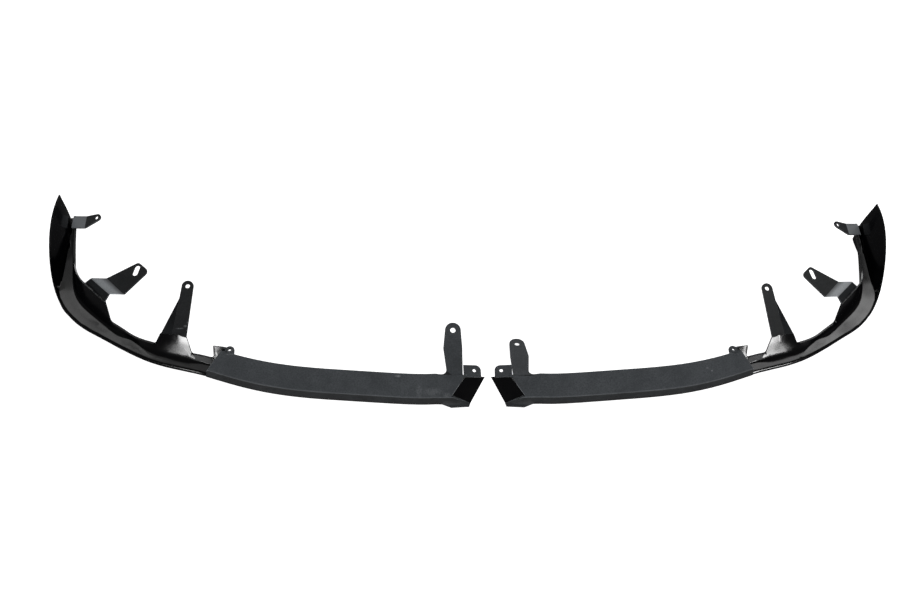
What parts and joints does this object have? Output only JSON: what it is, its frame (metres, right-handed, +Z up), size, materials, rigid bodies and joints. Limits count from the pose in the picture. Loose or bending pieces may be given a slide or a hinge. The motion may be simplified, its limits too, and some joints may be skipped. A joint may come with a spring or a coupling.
{
  "type": "front splitter lip",
  "caption": "Black moulded front splitter lip in mirror-image halves, each a curved blade and strip with an upswept end fin and folded fixing tabs.",
  "frame": {"origin": "midway between the two halves, at the middle of their depth, on the plane that the lower rims lie on", "axes": "+X to the vehicle's left, +Y rearward, +Z up"},
  "size_m": [1.7114, 0.4186, 0.1335],
  "materials": {
    "gloss_black": "gloss black moulded ABS, satin on the blade and tabs"
  },
  "bodies": {
    "root": {"left_half": "gloss_black", "right_half": "gloss_black"}
  },
  "joints": []
}
